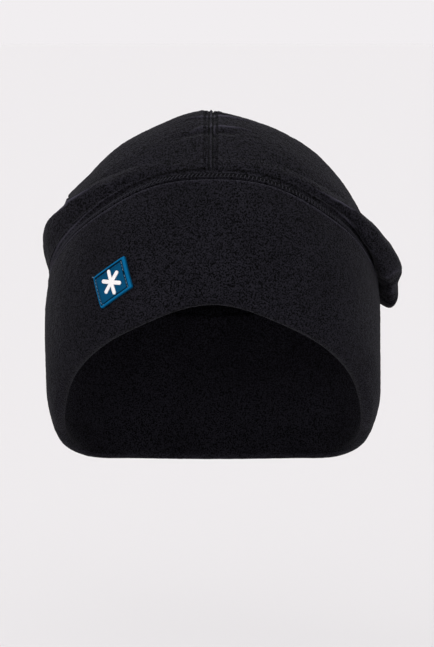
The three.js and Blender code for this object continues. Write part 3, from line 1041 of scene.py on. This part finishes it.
class BEANIE_OT_label(bpy.types.Operator):
    """Make the moulded label with its raised rim, and the stitches round it"""

    bl_idname = "beanie.label"
    bl_label = "Label"

    def execute(self, context):
        label, thread, colours = sizes("label"), sizes("thread"), context.scene.beanie_colours
        top = LABEL_GAP + label.thickness
        field = top - label.sink
        inside = 1 - label.rim / LABEL_HALF
        # Share of the half size, height and painted shade of each line from the underside over the rim
        # and the groove inwards: a painted highlight on the rim, painted shade in the groove.
        profile = [
            (0.5, 0.1, 0),
            (0.985, 0.1, 0),
            (1.0, 0.3, 0),
            (1.0, top - 0.7, 0),
            (0.99, top - 0.38, 0.4),
            (0.975, top - 0.14, 1),
            (0.95, top, 1),
            (inside + 0.025, top - 0.03, 1),
            (inside + 0.01, top - 0.16, 0.5),
            (inside + 0.005, top - 0.3, -1),
            (inside, field - 0.55, -1),
            (inside - 0.06, field - 0.55, -1),
            (inside - 0.07, field - 0.1, -1),
            (inside - 0.08, field, 0),
            (0.5, field, 0),
            (0.25, field, 0),
        ]
        rings = np.stack([label_ring(reach, lift, LABEL_POINTS) for reach, lift, _ in profile], axis=1)
        wear = np.tile([wear for _, _, wear in profile], LABEL_POINTS)
        points, faces = capped(rings[::-1], label_point(0, 0, profile[0][1]), label_point(0, 0, field))
        rubber = made(moulded_silicone_rubber, "satin_blue_silicone", colours.label)
        make_piece("label_plate", points, faces, rubber, "label_rubber", ["label"], wear=np.r_[wear, 0, 0])

        # The thread lies in the groove, and deeper along the two sloping sides. One end is left
        # at the corner.
        turn = np.linspace(0, 2 * np.pi, THREAD_POINTS, endpoint=False)
        deep = smooth((np.abs(np.sin(turn)) - np.abs(np.cos(turn))) * 4 + 0.5)
        line = label_ring(inside - 0.035, field + 0.1 - 0.9 * deep, THREAD_POINTS)
        starts, ends, _ = stitch_ends(np.concatenate([line, line[:1]]), thread.label_stitch, 0.5)
        starts = np.concatenate([starts, [label_point(*(LABEL_SIDE * -0.93), field)]])
        ends = np.concatenate([ends, [label_point(*(LABEL_SIDE * -1.16), 0.9)]])
        up = unit(label_point(0, 0, 1.0) - label_point(0, 0, 0.0))
        normals = np.tile(up, (len(starts), 1))
        points, faces = thread_loops(starts, ends, normals, thread.thickness * 0.8, 0.12)
        material = made(spun_polyester_thread, "blue_polyester_thread", colours.label_thread)
        make_piece("label_stitches", points, faces, material, "label_rubber")
        return {"FINISHED"}


def star_outline(label, inset):
    """Line round the star, a little way inside its edge, with round arm ends."""
    half, step = label.arm_width / 2, math.pi / label.arms
    radius = half - inset
    # The round end of one arm and the notch after it, as complex numbers, are turned to each arm.
    lean = np.pi * (np.arange(9) / 8 - 0.5)
    notch = radius / np.sin(step) * np.exp(1j * step)
    arm = np.append(label.reach - half + radius * np.exp(1j * lean), notch)
    line = (np.exp(2j * step * np.arange(label.arms))[:, None] * arm).ravel()
    return line.real, line.imag


class BEANIE_OT_star(bpy.types.Operator):
    """Make the plain moulded snow star on the label"""

    bl_idname = "beanie.star"
    bl_label = "Star"

    def execute(self, context):
        label = sizes("label")
        base = LABEL_GAP + label.thickness - label.sink
        # Distance inside the edge and height above the field of each line, up the rounded edge.
        profile = ((0, -0.05), (0, 0.45), (0.1, 0.62), (0.3, 0.72), (0.6, 0.76))
        rings = [label_point(*star_outline(label, inset), base + lift) for inset, lift in profile]
        ends = (label_point(0, 0, base + lift) for lift in (-0.05, 0.78))
        points, faces = capped(np.stack(rings, axis=1), *ends)
        rubber = made(moulded_silicone_rubber, "satin_white_silicone", context.scene.beanie_colours.star)
        make_piece("label_star", points, faces, rubber, "mark_rubber", ["label_mark"])
        return {"FINISHED"}


# The stage

FLOOR_REACH = 60


def looking_in(name, data, azimuth, elevation, distance):
    """Object that stands in a direction from the origin and looks back along it."""
    level = math.cos(elevation)
    away = Vector((math.sin(azimuth) * level, -math.cos(azimuth) * level, math.sin(elevation)))
    thing = new_object(name, data)
    thing.rotation_euler = away.to_track_quat("Z", "Y").to_euler()
    thing.location = away * distance
    return thing


class BEANIE_OT_stage(bpy.types.Operator):
    """Make the pale floor, the soft studio light and the camera"""

    bl_idname = "beanie.stage"
    bl_label = "Stage"

    def execute(self, context):
        studio = context.scene.beanie_studio
        mesh = bpy.data.meshes.new("floor")
        corners = ((-1, -1), (1, -1), (1, 1), (-1, 1))
        corners = [(x * FLOOR_REACH, y * FLOOR_REACH, -studio.floor_drop) for x, y in corners]
        mesh.from_pydata(corners, [], [(0, 1, 2, 3)])
        paper = {"Base Color": (*studio.paper, 1), "Roughness": 1, "Specular IOR Level": 0}
        mesh.materials.append(finish_material(new_material("matt_pale_paper")[0], paper))
        new_object("floor", mesh)

        world = bpy.data.worlds.new("pale_studio")
        context.scene.world = world
        world.use_nodes = True
        tree = world.node_tree
        tree.nodes.clear()
        # The backdrop looks white, and a dimmer room lights the hat.
        direct = add_node(tree, "ShaderNodeLightPath").outputs["Is Camera Ray"]
        strength = add_node(tree, "ShaderNodeMapRange", {"Value": direct, "To Min": studio.room, "To Max": 1})
        sky = {"Color": (*linear("#f1eef0"), 1), "Strength": strength}
        add_node(tree, "ShaderNodeOutputWorld", {"Surface": add_node(tree, "ShaderNodeBackground", sky)})

        # Each light is so far away and so wide that it falls evenly on the floor.
        for name, azimuth, elevation, width, power in LIGHTS:
            light = bpy.data.lights.new(name, "SUN")
            light.angle, light.energy = math.radians(width), power * studio.light
            looking_in(name, light, math.radians(azimuth), math.radians(elevation), 2)
        context.scene.view_settings.view_transform = "Standard"

        camera_data = bpy.data.cameras.new("camera")
        camera_data.lens = camera_data.sensor_width * studio.camera_distance / studio.frame_height
        camera = looking_in("camera", camera_data, 0, studio.camera_pitch, studio.camera_distance)
        camera.location.x += studio.camera_side
        context.scene.camera = camera
        return {"FINISHED"}


class BEANIE_PT_panel(bpy.types.Panel):
    """Lists the pieces of the beanie and their settings"""

    bl_label = "Fleece Beanie"
    bl_idname = "BEANIE_PT_panel"
    bl_space_type = "VIEW_3D"
    bl_region_type = "UI"
    bl_category = "Beanie"

    def draw(self, context):
        for settings, group in SETTINGS.items():
            box = self.layout.box()
            for name in group.__annotations__:
                box.prop(getattr(context.scene, settings), name)
        for operator in OPERATORS:
            self.layout.operator(operator.bl_idname)


SETTINGS = {
    "beanie_cloth": BeanieCloth,
    "beanie_thread": BeanieThread,
    "beanie_label": BeanieLabel,
    "beanie_colours": BeanieColours,
    "beanie_studio": BeanieStudio,
}
OPERATORS = (
    BEANIE_OT_band,
    BEANIE_OT_crown,
    BEANIE_OT_centre_stitches,
    BEANIE_OT_cover_stitches,
    BEANIE_OT_label,
    BEANIE_OT_star,
    BEANIE_OT_stage,
)


def register():
    """Register the settings, the operators and the panel."""
    for name, group in SETTINGS.items():
        bpy.utils.register_class(group)
        setattr(bpy.types.Scene, name, PointerProperty(type=group))
    for operator in OPERATORS:
        bpy.utils.register_class(operator)
    bpy.utils.register_class(BEANIE_PT_panel)


def unregister():
    """Undo register."""
    bpy.utils.unregister_class(BEANIE_PT_panel)
    for operator in reversed(OPERATORS):
        bpy.utils.unregister_class(operator)
    for name, group in reversed(SETTINGS.items()):
        delattr(bpy.types.Scene, name)
        bpy.utils.unregister_class(group)


def main():
    """Make every piece."""
    register()
    bpy.ops.beanie.band()
    bpy.ops.beanie.crown()
    bpy.ops.beanie.centre_stitches()
    bpy.ops.beanie.cover_stitches()
    bpy.ops.beanie.label()
    bpy.ops.beanie.star()
    bpy.ops.beanie.stage()


if __name__ == "__main__":
    main()
